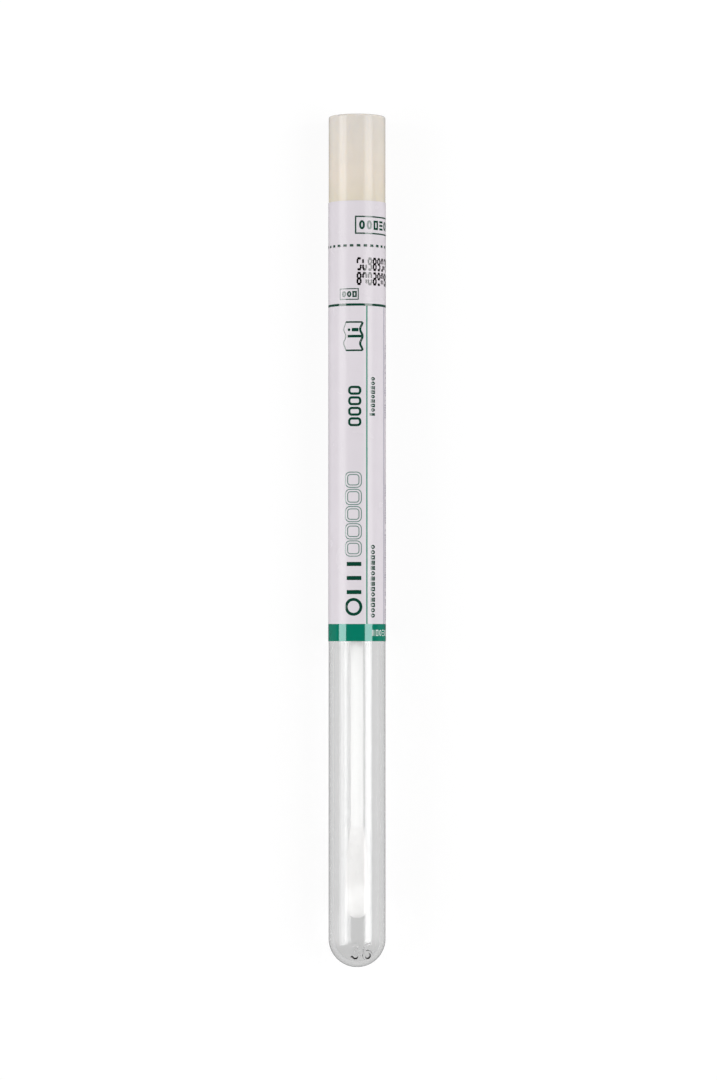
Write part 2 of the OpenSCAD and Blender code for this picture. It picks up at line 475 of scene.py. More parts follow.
def draw_lines_group():
    """Height of the faint lines and waves that moulding and wrapping leave along the tube."""
    inputs = {"Vector": VECTOR, "Scale": 300.0, "Stretch": 0.05, "Waves": 0.5}
    tree, given, out = new_tree("ShaderNodeTree", "Draw Lines", inputs, {"Height": FLOAT})
    stretch = vector(tree, 1.0, given["Stretch"], 1.0)
    along = wire(tree, "ShaderNodeVectorMath", {0: given["Vector"], 1: stretch}, operation="MULTIPLY")
    slow = given["Scale"] * 0.22
    lines = noise(tree, Vector=along, Scale=given["Scale"], Detail=3.0)
    waves = noise(tree, Vector=along, Scale=slow, Detail=1.0)
    tree.links.new(mix_numbers(tree, given["Waves"], lines, waves).socket, out["Height"])
    return tree


def mottle_group():
    """Colour that wanders between a shade and a darker one, as pigment and thickness do."""
    inputs = {"Vector": VECTOR, "Scale": 200.0, "Shade": COLOUR, "Depth": 0.04}
    tree, given, out = new_tree("ShaderNodeTree", "Mottle", inputs, {"Color": COLOUR})
    patches = mapped(tree, noise(tree, Vector=given["Vector"], Scale=given["Scale"], Detail=4.0), 0.35, 0.65)
    light = 1.0 - patches * given["Depth"]
    tree.links.new(mix_colours(tree, 1.0, given["Shade"], light, "MULTIPLY").socket, out["Color"])
    return tree


def handling_group():
    """Roughness that varies with handling: soft smears over an even finish."""
    inputs = {"Vector": VECTOR, "Scale": 120.0, "Smooth": 0.2, "Smeared": 0.3}
    tree, given, out = new_tree("ShaderNodeTree", "Handling", inputs, {"Roughness": FLOAT})
    smears = noise(tree, Vector=given["Vector"], Scale=given["Scale"], Detail=5.0, Distortion=0.6)
    rough = mapped(tree, smears, 0.4, 0.7, given["Smooth"], given["Smeared"])
    tree.links.new(rough.socket, out["Roughness"])
    return tree


SHARED = {"Draw Lines": draw_lines_group, "Mottle": mottle_group, "Handling": handling_group}


def group(tree, name, **inputs):
    """Places a shared shader group, built on first use, and gives its output."""
    shared = bpy.data.node_groups.get(name) or SHARED[name]()
    return wire(tree, "ShaderNodeGroup", inputs, node_tree=shared)


# ---------------------------------------------------------------- materials


def new_material(name):
    """Empty node material with its tree, its surface socket and Object coordinates."""
    material = bpy.data.materials.new(name)
    material.use_nodes = True
    tree = material.node_tree
    tree.nodes.clear()
    surface = tree.nodes.new("ShaderNodeOutputMaterial").inputs["Surface"]
    return material, tree, surface, wires(tree, "ShaderNodeTexCoord")["Object"]


def bump(tree, height, strength, distance):
    """Normal of a bumped surface."""
    return wire(tree, "ShaderNodeBump", {"Height": height, "Strength": strength, "Distance": distance})


def principled(tree, surface, **inputs):
    """Principled shader on the surface. Input names have their spaces written as underscores."""
    named = {key.replace("_", " "): value for key, value in inputs.items()}
    shader = wire(tree, "ShaderNodeBsdfPrincipled", named)
    tree.links.new(shader.socket, surface)
    return shader


def rgba(shade):
    """Colour with full alpha."""
    return (*shade, 1.0)


def height_share(tree, place, low, high, **settings):
    """Share of the way between two places along the tube."""
    along = wires(tree, "ShaderNodeSeparateXYZ", {0: place})["Y"]
    return mapped(tree, along, low, high, **settings)


def clear_plastic(s):
    """Clear moulded plastic, faintly drawn along its length, that lets lamp light through to the swab."""
    material, tree, surface, place = new_material("clear_plastic")
    lines = group(tree, "Draw Lines", Vector=place, Scale=420.0, Stretch=0.04, Waves=0.6)
    # Painted shade: the colour darkens from the barrel's start down into the round foot, in place of the
    # shade seen through it.
    foot_end, barrel_start = FOOT_Y + 0.5 * TUBE_R, FOOT_Y + 1.1 * TUBE_R
    rise = height_share(tree, place, foot_end, barrel_start, interpolation_type="SMOOTHSTEP")
    facing = wires(tree, "ShaderNodeLayerWeight", {"Blend": 0.5})["Facing"]
    # Painted light: the lighter edge colour is reached where the wall faces the view half as much as it does
    # straight on.
    wall = mix_colours(tree, facing * 2.0, rgba(s.tint), rgba(s.painted_edge_light))
    shader = principled(
        tree, surface,
        Base_Color=mix_colours(tree, rise, rgba(s.painted_foot_shade), wall),
        Roughness=group(tree, "Handling", Vector=place, Scale=160.0, Smooth=0.015, Smeared=0.045),
        IOR=s.refraction, Specular_Tint=rgba([s.shine] * 3), Transmission_Weight=1.0,
        Normal=bump(tree, lines, 0.015, 0.02 * MM),
    )
    passed = mix_numbers(tree, facing, s.straight, s.grazing)
    opening = wire(tree, "ShaderNodeBsdfTransparent", {"Color": passed})
    lamp = wires(tree, "ShaderNodeLightPath")["Is Shadow Ray"]
    mixed = wire(tree, "ShaderNodeMixShader", {0: lamp, 1: shader, 2: opening})
    tree.links.new(mixed.socket, surface)
    return material


def ivory_plastic(s):
    """Natural ivory polyethylene: waxy and satin, greyer at the top and warmer towards the label."""
    material, tree, surface, place = new_material("ivory_plastic")
    rise = height_share(tree, place, SEAL_BOX[1].y, CAP_BOX[1].y)
    ramp = add(tree, "ShaderNodeValToRGB", {0: rise})
    stops = ramp.color_ramp.elements
    stops[0].color = rgba(s.lower)
    stops[1].color = rgba(s.upper)
    stops.new(s.middle_place).color = rgba(s.middle)
    shade = Wire(tree, ramp)
    lines = group(tree, "Draw Lines", Vector=place, Scale=900.0, Stretch=0.04, Waves=0.2)
    principled(
        tree, surface,
        Base_Color=group(tree, "Mottle", Vector=place, Scale=260.0, Shade=shade, Depth=0.03),
        Roughness=group(tree, "Handling", Vector=place, Scale=220.0, Smooth=0.17, Smeared=0.22),
        IOR=1.51, Subsurface_Weight=0.3, Subsurface_Scale=1.0,
        Subsurface_Radius=(1.2 * MM, 1.0 * MM, 0.7 * MM),
        Normal=bump(tree, lines, 0.08, 0.01 * MM),
    )
    return material


def wound_fibre(s):
    """Soft white wound fibre with a faint sheen."""
    material, tree, surface, place = new_material("wound_fibre")
    shade = rgba(s.fibre_colour)
    lines = group(tree, "Draw Lines", Vector=place, Scale=5200.0, Stretch=0.35, Waves=0.3)
    principled(
        tree, surface,
        Base_Color=group(tree, "Mottle", Vector=place, Scale=900.0, Shade=shade, Depth=0.04),
        Roughness=0.85, Sheen_Weight=0.25, Sheen_Roughness=0.5,
        Subsurface_Weight=0.15, Subsurface_Scale=1.0, Subsurface_Radius=[0.6 * MM] * 3,
        Normal=bump(tree, lines, 0.3, 0.01 * MM),
    )
    return material


def film_waves(tree, place):
    """Normal of the wrapped film, which the ink on it follows."""
    waves = group(tree, "Draw Lines", Vector=place, Scale=520.0, Stretch=0.18, Waves=0.7)
    return bump(tree, waves, 0.12, 0.02 * MM)


def label_film(s):
    """White label film, faintly lavender, with a soft gloss and the slow waves of a wrapped film."""
    material, tree, surface, place = new_material("label_film")
    shade = rgba(s.film_colour)
    principled(
        tree, surface,
        Base_Color=group(tree, "Mottle", Vector=place, Scale=140.0, Shade=shade, Depth=0.03),
        Roughness=group(tree, "Handling", Vector=place, Scale=180.0, Smooth=0.25, Smeared=0.28),
        IOR=1.42, Normal=film_waves(tree, place),
    )
    return material


WHITE = (1.0, 1.0, 1.0)

# Indices of refraction of the inks. A higher one is glossier.
DULL = 1.5
GLOSSY = 1.95
GLOSSIEST = 2.1


def ink(name, shade, index=GLOSSY, gleam=WHITE):
    """Printing ink of a gloss, with the colour of its gleam. Its material is made on first use."""
    found = bpy.data.materials.get(name)
    if found:
        return found
    material, tree, surface, place = new_material(name)
    principled(
        tree, surface,
        Base_Color=group(tree, "Mottle", Vector=place, Scale=700.0, Shade=rgba(shade), Depth=0.08),
        Roughness=group(tree, "Handling", Vector=place, Scale=180.0, Smooth=0.05, Smeared=0.09),
        IOR=index, Specular_Tint=rgba(gleam), Normal=film_waves(tree, place),
    )
    return material


# ---------------------------------------------------------------- the label's print

# Longest face across the tube, in millimetres, that still follows the film.
FACE = 0.25

# A place on the film, in millimetres: to the right of the front, and above the foot of the tube.
Place = namedtuple("Place", "left right low high")

SEAL_BOX_PLACE = Place(-0.3, 12.2, 153.15, 156.65)
SMALL_BOX_PLACE = Place(-3.75, 0.25, 139.35, 141.55)
LEAFLET_PLACE = Place(-2.9, 0.65, 128.7, 134.6)
FIGURES_PLACE = Place(-1.65, 0.65, 112.95, 121.2)
CELLS_PLACE = Place(-2.5, 0.9, 85.8, 103.3)
BARS_PLACE = Place(-2.2, 0.9, 77.9, 84.6)
RING_PLACE = Place(-2.3, 0.8, 73.7, 76.8)
BAND_WIDTH = 3.6
BAND_TOP = LABEL_LOW / MM + BAND_WIDTH
RING_LINE = 138.25
RING_LINE_WIDTH = 0.5
FIRST_RULE = 2.08
FIRST_RULE_WIDTH = 0.34
SECOND_RULE = 7.16
SECOND_RULE_WIDTH = 0.25
SMALL_BOX_WIDTH = 0.2
SEAL_BOX_WIDTH = 0.3

RING_WIDTH = 0.62
RING_CORNER = 1.54

# Repeated shapes of the print: how many, the gap between two, the width of a line, the radius of a corner.
Frames = namedtuple("Frames", "count gap width corner", defaults=(0.0, 0.0))

FIGURES = Frames(4, 0.5, 0.5, 0.55)
CELLS = Frames(5, 0.4, 0.18, 1.0)
BARS = Frames(3, 2.075)

# How far a figure's ring keeps from its own place's two ends, and a cell's inner line from the outer one.
FIGURE_INSET = 0.15
CELL_INSET = 0.5
INNER_CORNER = 0.6

# A row of marks: its name and ink, the number and spacing of its marks, the size of one, where it starts,
# whether it runs across the tube, the height of its low marks as a share, its share of gaps and its seed.
Row = namedtuple("Row", "name ink count pitch wide tall stroke across along upright low gaps seed")

# The fine print at the side: three columns in an upper and a lower part, all of one size of mark.
SIDE_MARK = (0.52, 0.36, 0.85, 0.13)
SIDE_COLUMNS = {"a": 8.55, "b": 10.1, "c": 11.65}


def side_rows(part, along, counts, gaps, seed):
    """The columns of one part of the fine print at the side, which run up the tube from one height."""
    rows = []
    for i, (column, across) in enumerate(SIDE_COLUMNS.items()):
        name = f"side_words_{part}_{column}"
        start = (across, along, False, 0.76)
        rows.append(Row(name, "blue_grey", counts[i], *SIDE_MARK, *start, gaps[i], seed + i))
    return rows


ROWS = (
    Row("seal_words", "dark_green", 7, 1.62, 1.24, 1.94, 0.44, 0.42, 153.95, True, 1.0, 0.0, 6),
    Row("small_box_words", "dark_green", 3, 1.15, 0.95, 1.28, 0.34, -3.3, 139.8, True, 1.0, 0.0, 2),
    Row("upper_line_words", "dark_green", 9, 0.93, 0.74, 1.33, 0.29, 4.02, 115.0, False, 0.78, 0.0, 5),
    Row("lower_line_words", "dark_green", 14, 1.1, 0.9, 1.36, 0.32, 4.02, 73.0, False, 0.78, 0.0, 6),
    Row("band_words", "white", 13, 1.04, 0.74, 1.28, 0.19, 3.2, 69.2, True, 1.0, 0.06, 14),
    *side_rows("upper", 114.7, (30, 34, 26), (0.3, 0.2, 0.2), 21),
    *side_rows("lower", 72.4, (56, 52, 40), (0.12, 0.12, 0.12), 24),
)

# A row of dot-printed cells: name, height above the foot, number of cells and seed.
DotRow = namedtuple("DotRow", "name along cells seed")

DOT_ROWS = (DotRow("upper_dots", 145.6, 11, 3), DotRow("lower_dots", 142.55, 10, 11))

# Dot print, in millimetres: spacing of its dots, room between its cells, size of a dot, where a row starts.
DOT_SIZES = {
    "Pitch Across": 0.172,
    "Pitch Along": 0.38,
    "Cell Gap": 0.15,
    "Dot Across": 0.42,
    "Dot Along": 0.54,
    "Across": 0.08,
}
DOT_COLUMNS = 5
DOT_LINES = 7


def in_line(place, frames):
    """Equal places in a line up the tube that fill a place, a gap apart."""
    pitch = (place.high - place.low + frames.gap) / frames.count
    feet = [place.low + i * pitch for i in range(frames.count)]
    return [place._replace(low=foot, high=foot + pitch - frames.gap) for foot in feet]


def inset(place, across, along):
    """A place made smaller on all four sides."""
    return Place(place.left + across, place.right - across, place.low + along, place.high - along)


class Print:
    """Ink laid on the film, in flat strips and fields that are bent round it."""

    def __init__(self, settings):
        self.bm = bmesh.new()
        self.top = FILM_R - settings.ink
        self.thickness = settings.ink
        self.reach = (pi * FILM_R - settings.bare_strip / 2) / MM

    def corner(self, across, height):
        """Vertex on the ink's outer face."""
        return self.bm.verts.new(on_tube(across * MM / self.top, height * MM, self.top))

    def strip(self, path, width, lanes=1):
        """Strip of a width along a path, in steps and lanes short enough to follow the film."""
        fine = [path[0]]
        for start, end in zip(path, path[1:]):
            steps = max(1, ceil(abs(end[0] - start[0]) / FACE))
            fine += straight(start, end, steps)
        closed = fine[0] == fine[-1]
        if closed:
            fine.pop()
        n = len(fine)
        rows = []
        for i, (x, y) in enumerate(fine):
            before = fine[i - 1] if i or closed else fine[i]
            after = fine[(i + 1) % n] if i < n - 1 or closed else fine[i]
            a = Vector((x - before[0], y - before[1]))
            b = Vector((after[0] - x, after[1] - y))
            a = a.normalized() if a.length else b.normalized()
            b = b.normalized() if b.length else a
            along = (a + b).normalized()
            reach = width / 2 / max(along.dot(a), 0.5)
            offsets = [reach * (2 * lane / lanes - 1) for lane in range(lanes + 1)]
            rows.append([self.corner(x + along.y * off, y - along.x * off) for off in offsets])
        for i in range(n if closed else n - 1):
            near, far = rows[i], rows[(i + 1) % n]
            for a, b, c, d in zip(near, near[1:], far, far[1:]):
                self.bm.faces.new((a, b, d, c))

    def field(self, place):
        """Filled rectangle."""
        middle = (place.low + place.high) / 2
        self.strip([(place.left, middle), (place.right, middle)], place.high - place.low)

    def outline(self, place, width, round_corner=0.0):
        """Outline of a rectangle, with round corners where their radius is given."""
        left, right, low, high = place
        if not round_corner:
            self.strip([(left, low), (right, low), (right, high), (left, high), (left, low)], width)
            return
        r = round_corner
        west, east, south, north = left + r, right - r, low + r, high - r
        corners = ((east, south, -90), (east, north, 0), (west, north, 90), (west, south, 180))
        path = [point for x, y, start in corners for point in arc((x, y), r, start, start + 90, 8)]
        self.strip(path + [path[0]], width, lanes=ceil(width / FACE))

    def piece(self, name, material, body):
        """Gives the ink its thickness and makes it a piece."""
        skin = bmesh.ops.extrude_face_region(self.bm, geom=self.bm.faces[:])
        for v in [g for g in skin["geom"] if isinstance(g, bmesh.types.BMVert)]:
            out = Vector((v.co.x, 0, v.co.z - AXIS_Z)).normalized()
            v.co -= out * self.thickness
        bmesh.ops.recalc_face_normals(self.bm, faces=self.bm.faces[:])
        return piece(mesh_from(self.bm), name, material, body)


# ---------------------------------------------------------------- geometry node trees


def solid_tree(name, inputs):
    """Geometry node tree with named inputs that gives one geometry."""
    return new_tree("GeometryNodeTree", name, inputs, {"Geometry": SOLID})


def round_tube(tree, angle, height, radius):
    """The place that on_tube gives, for wires."""
    across = radius * angle.math("SINE")
    up = radius * angle.math("COSINE") + AXIS_Z
    return vector(tree, across, height + FOOT_Y, up)


def wrap_group():
    """Bends flat marks, whose X runs across the front and Y up the tube, round the tube."""
    tree, given, out = solid_tree("Wrap Round Tube", {"Geometry": SOLID, "Radius": 0.006})
    flat = wires(tree, "ShaderNodeSeparateXYZ", {0: wire(tree, "GeometryNodeInputPosition")})
    bent = round_tube(tree, flat["X"] / given["Radius"], flat["Y"], given["Radius"] + flat["Z"])
    moved = wire(tree, "GeometryNodeSetPosition", {"Geometry": given["Geometry"], "Position": bent})
    tree.links.new(moved.socket, out["Geometry"])
    return tree


def finish_tree(tree, given, out, solid, flat=True):
    """Ends a tree: real meshes, bent round the tube where they are flat, with their material."""
    real = wire(tree, "GeometryNodeRealizeInstances", {0: solid})
    if flat:
        shared = bpy.data.node_groups.get("Wrap Round Tube") or wrap_group()
        inputs = {"Geometry": real, "Radius": given["Radius"]}
        real = wire(tree, "GeometryNodeGroup", inputs, node_tree=shared)
    made = wire(tree, "GeometryNodeSetMaterial", {"Geometry": real, "Material": given["Material"]})
    tree.links.new(made.socket, out["Geometry"])
    return tree


def slab(tree, left, low, wide, tall, thick, columns=2, rows=2):
    """Flat box of a width, height and thickness, from its lower left corner, with so many points each way."""
    size = vector(tree, wide, tall, thick)
    box = wire(tree, "GeometryNodeMeshCube", {"Size": size, "Vertices X": columns, "Vertices Y": rows})
    middle = vector(tree, wide * 0.5 + left, tall * 0.5 + low)
    return wire(tree, "GeometryNodeTransform", {"Geometry": box, "Translation": middle})


def joined(tree, *parts):
    """Several geometries as one."""
    node = tree.nodes.new("GeometryNodeJoinGeometry")
    for part in parts:
        tree.links.new(part.socket, node.inputs[0])
    return Wire(tree, node)


def in_row(tree, given, shape, start=(0.0, 0.0, 0.0), choice=None):
    """Copies of a shape, as many and as far apart as the tree's inputs say."""
    inputs = {"Count": given["Count"], "Start Location": start, "Offset": vector(tree, given["Pitch"])}
    line = wire(tree, "GeometryNodeMeshLine", inputs)
    copies = {"Points": line, "Instance": shape, **(choice or {})}
    return wire(tree, "GeometryNodeInstanceOnPoints", copies)


def film_tree():
    """Film wrapped round the tube, with a row of perforation cuts in its upper edge."""
    inputs = {
        "Width": 35 * MM,
        "Low": 68 * MM,
        "High": 150 * MM,
        "Thickness": 0.07 * MM,
        "Columns": 145,
        "Count": 24,
        "Pitch": 1.46 * MM,
        "First Cut": -17.5 * MM,
        "Cut Length": 1.0 * MM,
        "Cut Width": 0.05 * MM,
        "Radius": 6 * MM,
        "Material": MATERIAL,
    }
    tree, given, out = solid_tree("Perforated Film", inputs)
    wide, low, high, thick = given["Width"], given["Low"], given["High"], given["Thickness"]
    sheet = slab(tree, wide * -0.5, low, wide, high - low, thick, given["Columns"])
    size = vector(tree, given["Cut Length"], given["Cut Width"] * 2.0, thick * 3.0)
    cutter = wire(tree, "GeometryNodeMeshCube", {"Size": size})
    cuts = in_row(tree, given, cutter, vector(tree, given["First Cut"], high))
    real = wire(tree, "GeometryNodeRealizeInstances", {0: cuts})
    cut = wire(tree, "GeometryNodeMeshBoolean", {0: sheet, 1: real}, operation="DIFFERENCE", solver="EXACT")
    return finish_tree(tree, given, out, cut)


def dashes_tree():
    """A row of equal dashes."""
    inputs = {
        "Count": 24,
        "Pitch": 1.46 * MM,
        "Dash": 1.0 * MM,
        "Height": 0.2 * MM,
        **FLAT_MARKS,
    }
    tree, given, out = solid_tree("Row Of Dashes", inputs)
    left = given["Dash"] * -0.5
    dash = slab(tree, left, 0.0, given["Dash"], given["Height"], given["Ink"], columns=5)
    start = vector(tree, given["Across"], given["Along"])
    return finish_tree(tree, given, out, in_row(tree, given, dash, start))


def marks_tree():
    """A row of small rings, squares and bars in random order, as a line of fine print reads from afar."""
    inputs = {
        "Count": 10,
        "Pitch": 1.0 * MM,
        "Wide": 0.8 * MM,
        "Tall": 1.5 * MM,
        "Stroke": 0.2 * MM,
        "Low": 0.76,
        "Gaps": 0.1,
        "Seed": 1,
        "Turn": 0.0,
        **FLAT_MARKS,
    }
    tree, given, out = solid_tree("Row Of Marks", inputs)
    wide, tall, stroke, thick = given["Wide"], given["Tall"], given["Stroke"], given["Ink"]
    low_tall = tall * given["Low"]
    right, top = wide - stroke, low_tall - stroke

    def ring():
        """Oval ring."""
        circle = wire(tree, "GeometryNodeCurvePrimitiveCircle", {"Resolution": 14, "Radius": 0.5})
        size = vector(tree, right, top, 1.0)
        middle = vector(tree, wide * 0.5, low_tall * 0.5)
        oval = wire(tree, "GeometryNodeTransform", {"Geometry": circle, "Scale": size, "Translation": middle})
        section = wire(tree, "GeometryNodeCurvePrimitiveQuadrilateral", {"Width": stroke, "Height": thick})
        return wire(tree, "GeometryNodeCurveToMesh", {"Curve": oval, "Profile Curve": section})

    def uprights(left, height, foot=0.0):
        """Two upright bars, a distance in from the mark's two sides."""
        return [slab(tree, x, foot, stroke, height, thick, rows=7) for x in (left, right - left)]

    def level(foot):
        """Level bar across the mark."""
        return slab(tree, 0.0, foot, wide, stroke, thick, columns=6)

    square = joined(tree, *uprights(0.0, top - stroke, stroke), level(0.0), level(top))
    stack = joined(tree, level(0.0), level(top * 0.5), level(top))
    posts = joined(tree, *uprights(wide * 0.12, tall))
    kinds = (ring(), square, posts, stack, ring())
    picks = joined(tree, *[wire(tree, "GeometryNodeGeometryToInstance", {0: kind}) for kind in kinds])
    chance = {"Probability": given["Gaps"], "Seed": given["Seed"]}
    blank = wire(tree, "FunctionNodeRandomValue", chance, 3, data_type="BOOLEAN")
    choice = {4: 0, 5: len(kinds) - 1, "Seed": given["Seed"]}
    choice = {
        "Selection": wire(tree, "FunctionNodeBooleanMath", {0: blank}, operation="NOT"),
        "Pick Instance": True,
        "Instance Index": wire(tree, "FunctionNodeRandomValue", choice, 2, data_type="INT"),
    }
    real = wire(tree, "GeometryNodeRealizeInstances", {0: in_row(tree, given, picks, choice=choice)})
    start = vector(tree, given["Across"], given["Along"])
    spin = vector(tree, z=given["Turn"])
    placed = wire(tree, "GeometryNodeTransform", {"Geometry": real, "Translation": start, "Rotation": spin})
    return finish_tree(tree, given, out, placed)


def dots_tree():
    """A row of dot-printed cells. Each shows a random few of the strokes of a seven-stroke figure."""
    inputs = {
        "Cells": 6,
        "Pitch Across": 0.2 * MM,
        "Pitch Along": 0.4 * MM,
        "Cell Gap": 0.1 * MM,
        "Dot Across": 0.2 * MM,
        "Dot Along": 0.4 * MM,
        "Seed": 1,
        **FLAT_MARKS,
    }
    tree, given, out = solid_tree("Dot Print", inputs)
    cell_columns = float(DOT_COLUMNS + 1)
    columns = given["Cells"] * cell_columns
    total = columns * float(DOT_LINES)
    points = wire(tree, "GeometryNodeMeshLine", {"Count": total, "Offset": (0, 0, 0)})
    index = wire(tree, "GeometryNodeInputIndex")
    row = (index / columns).math("FLOOR")
    column = index - row * columns
    cell = (column / cell_columns).math("FLOOR")
    inner = column - cell * cell_columns
    last, top, middle = DOT_COLUMNS - 1, DOT_LINES - 1, DOT_LINES // 2
    lower, upper, inside = (1, middle - 1), (middle + 1, top - 1), (1, last - 1)
    # Each stroke: what stays the same along it and at which value, what runs along it and between which
    # values, and how likely a cell is to show it.
    strokes = (
        (inner, 0, row, lower, 0.8),
        (inner, 0, row, upper, 0.85),
        (inner, last, row, lower, 0.8),
        (inner, last, row, upper, 0.85),
        (row, 0, inner, inside, 0.9),
        (row, middle, inner, inside, 0.7),
        (row, top, inner, inside, 0.9),
    )
    shown = []
    for i, (where, at, run, (first, final), likely) in enumerate(strokes):
        on_line = where.math("COMPARE", float(at), 0.1)
        above = run.math("GREATER_THAN", first - 0.5)
        below = run.math("LESS_THAN", final + 0.5)
        own = cell * 8.0 + float(i)
        chance = {"Probability": likely, "ID": own, "Seed": given["Seed"]}
        shows = wire(tree, "FunctionNodeRandomValue", chance, 3, data_type="BOOLEAN")
        shown.append(on_line * above * (below * shows))
    any_shown = shown[0]
    for other in shown[1:]:
        any_shown = any_shown.math("MAXIMUM", other)
    gaps = cell * given["Cell Gap"] + given["Across"]
    x = column * given["Pitch Across"] + gaps
    y = row * given["Pitch Along"] + given["Along"]
    laid = wire(tree, "GeometryNodeSetPosition", {"Geometry": points, "Position": vector(tree, x, y)})
    disc = wire(tree, "GeometryNodeMeshCylinder", {"Vertices": 10, "Radius": 0.5, "Depth": 1.0})
    size = vector(tree, given["Dot Across"], given["Dot Along"], given["Ink"])
    printed = {"Points": laid, "Selection": any_shown, "Instance": disc, "Scale": size}
    return finish_tree(tree, given, out, wire(tree, "GeometryNodeInstanceOnPoints", printed))


def fibres_tree():
    """Fibres wound round the bud, each at its own start, slant and sense."""
    inputs = {
        "Strands": 300,
        "Steps": 26,
        "Fibre": 0.03 * MM,
        "Turns": 0.8,
        "Reach": 0.3,
        "Lift": 0.0,
        "Low": 10 * MM,
        "High": 26 * MM,
        "Belly": 16 * MM,
        "Belly Radius": 2.2 * MM,
        "Side Radius": 60 * MM,
        "Tip Radius": 2.1 * MM,
        "Seed": 1,
        "Material": MATERIAL,
    }
    tree, given, out = solid_tree("Wound Fibres", inputs)
    steps, low, side_r, tip_r = given["Steps"], given["Low"], given["Side Radius"], given["Tip Radius"]
    points = wire(tree, "GeometryNodePoints", {"Count": given["Strands"] * steps})
    index = wire(tree, "GeometryNodeInputIndex")
    strand = ((index + 0.5) / steps).math("FLOOR")
    done = (index - strand * steps) / (steps - 1.0)

    def chance(least, most, shift):
        """Random number of each strand."""
        inputs = {2: least, 3: most, "ID": strand, "Seed": given["Seed"] + float(shift)}
        return wire(tree, "FunctionNodeRandomValue", inputs, 1, data_type="FLOAT")

    start = chance(0.0, 1.0, 0) * (1.0 - given["Reach"])
    height = (done * given["Reach"] + start) * (given["High"] - low) + low
    sense = chance(-0.4, 0.6, 1).math("SIGN")
    wound = given["Turns"] * chance(0.6, 1.3, 2) * (2 * pi)
    angle = wound * sense * done + chance(0.0, 2 * pi, 3)
    from_belly = height - given["Belly"]
    side = (side_r.math("POWER", 2.0) - from_belly * from_belly).math("SQRT")
    side = side - (side_r - given["Belly Radius"])
    below = (low + tip_r - height).math("MAXIMUM", 0.0)
    tip = (tip_r * tip_r - below * below).math("MAXIMUM", 0.0).math("SQRT")
    stand_off = given["Lift"] * (done * pi).math("SINE") * chance(0.2, 1.0, 4)
    sunk = stand_off - given["Fibre"] * chance(0.5, 1.3, 5)
    where = round_tube(tree, angle, height, side.math("MINIMUM", tip) + sunk)
    laid = wire(tree, "GeometryNodeSetPosition", {"Geometry": points, "Position": where})
    curves = wire(tree, "GeometryNodePointsToCurves", {"Points": laid, "Curve Group ID": strand})
    section = wire(tree, "GeometryNodeCurvePrimitiveCircle", {"Resolution": 5, "Radius": given["Fibre"]})
    solid = {"Curve": curves, "Profile Curve": section, "Fill Caps": True}
    return finish_tree(tree, given, out, wire(tree, "GeometryNodeCurveToMesh", solid), flat=False)


# ---------------------------------------------------------------- operators


# Faces along the tube's half section: outside of the round foot, straight side, rim, inside of the foot.
FOOT_STEPS = 110
SIDE_STEPS = 40
RIM_STEPS = 6
BORE_STEPS = 40

# Faces along the bud's half section, in its round tip and in its taper, and faces round it.
TIP_STEPS = 24
TAPER_STEPS = 60
BUD_SEGMENTS = 96


class SWABTUBE_OT_tube(bpy.types.Operator):
    """Make the clear tube, with the mould number raised on its foot"""

    bl_idname = "swab_tube.tube"
    bl_label = "Clear Tube"

    def execute(self, context):
        s = context.scene.swab_tube_glass
        mouth_r, foot_r = TUBE_R - s.mouth_wall, TUBE_R - s.foot_wall
        rim, lead_foot = TUBE_L - s.rim_round, TUBE_L - s.lead_in_height
        lead_r = foot_r + (mouth_r - foot_r) * (lead_foot - TUBE_R) / (TUBE_L - TUBE_R)
        profile = [
            (0.0, 0.0),
            *arc((0, TUBE_R), TUBE_R, -90, 0, FOOT_STEPS)[1:],
            *straight((TUBE_R, TUBE_R), (TUBE_R, rim), SIDE_STEPS)[:-1],
            *arc((TUBE_R - s.rim_round, rim), s.rim_round, 0, 90, RIM_STEPS),
            (mouth_r + s.lead_in, TUBE_L),
            (lead_r, lead_foot),
            *straight((lead_r, lead_foot), (foot_r, TUBE_R), SIDE_STEPS)[:-1],
            *arc((0, TUBE_R), foot_r, 0, -90, BORE_STEPS)[:-1],
            (0.0, TUBE_R - foot_r),
        ]
        bm = turned(profile, s.segments)
        self.raise_number(bm, s)
        piece(mesh_from(bm), "clear_tube", clear_plastic(s), TUBE_BODY, "tube", sharp=30.0)
        return {"FINISHED"}

    def raise_number(self, bm, s):
        """Pushes the foot's outer wall out under the strokes of two digits."""
        middle = Vector((s.number_across, s.number_up))
        high = s.digit_height / 2
        wide, apart = DIGIT_WIDTH * high, DIGIT_SPACING * high
        lines = []
        for digit, side in ((3, -1), (6, 1)):
            left, low = middle.x + side * apart - wide / 2, middle.y - high
            for line in strokes_of_digit(digit):
                lines.append([(left + x * wide, low + y * high) for x, y in line])
        centre = on_tube(0, TUBE_R, 0)
        for v in bm.verts:
            out = v.co - centre
            height = v.co.y - FOOT_Y
            on_outside = out.length > TUBE_R - s.foot_wall / 2 and height < TUBE_R and v.co.z > AXIS_Z
            near = max(abs(v.co.x - middle.x), abs(height - middle.y)) < s.digit_height
            if on_outside and near:
                off = min(distance_to((v.co.x, height), line) for line in lines) - s.digit_stroke / 2
                rise = min(max(0.5 - off / s.digit_edge, 0.0), 1.0)
                v.co += out.normalized() * s.relief * rise * rise * (3 - 2 * rise)


class SWABTUBE_OT_cap(bpy.types.Operator):
    """Give the cap its waxy ivory finish"""

    bl_idname = "swab_tube.cap"
    bl_label = "Cap"

    def execute(self, context):
        material = ivory_plastic(context.scene.swab_tube_cap)
        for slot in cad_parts["cap"].material_slots:
            slot.material = material
        return {"FINISHED"}


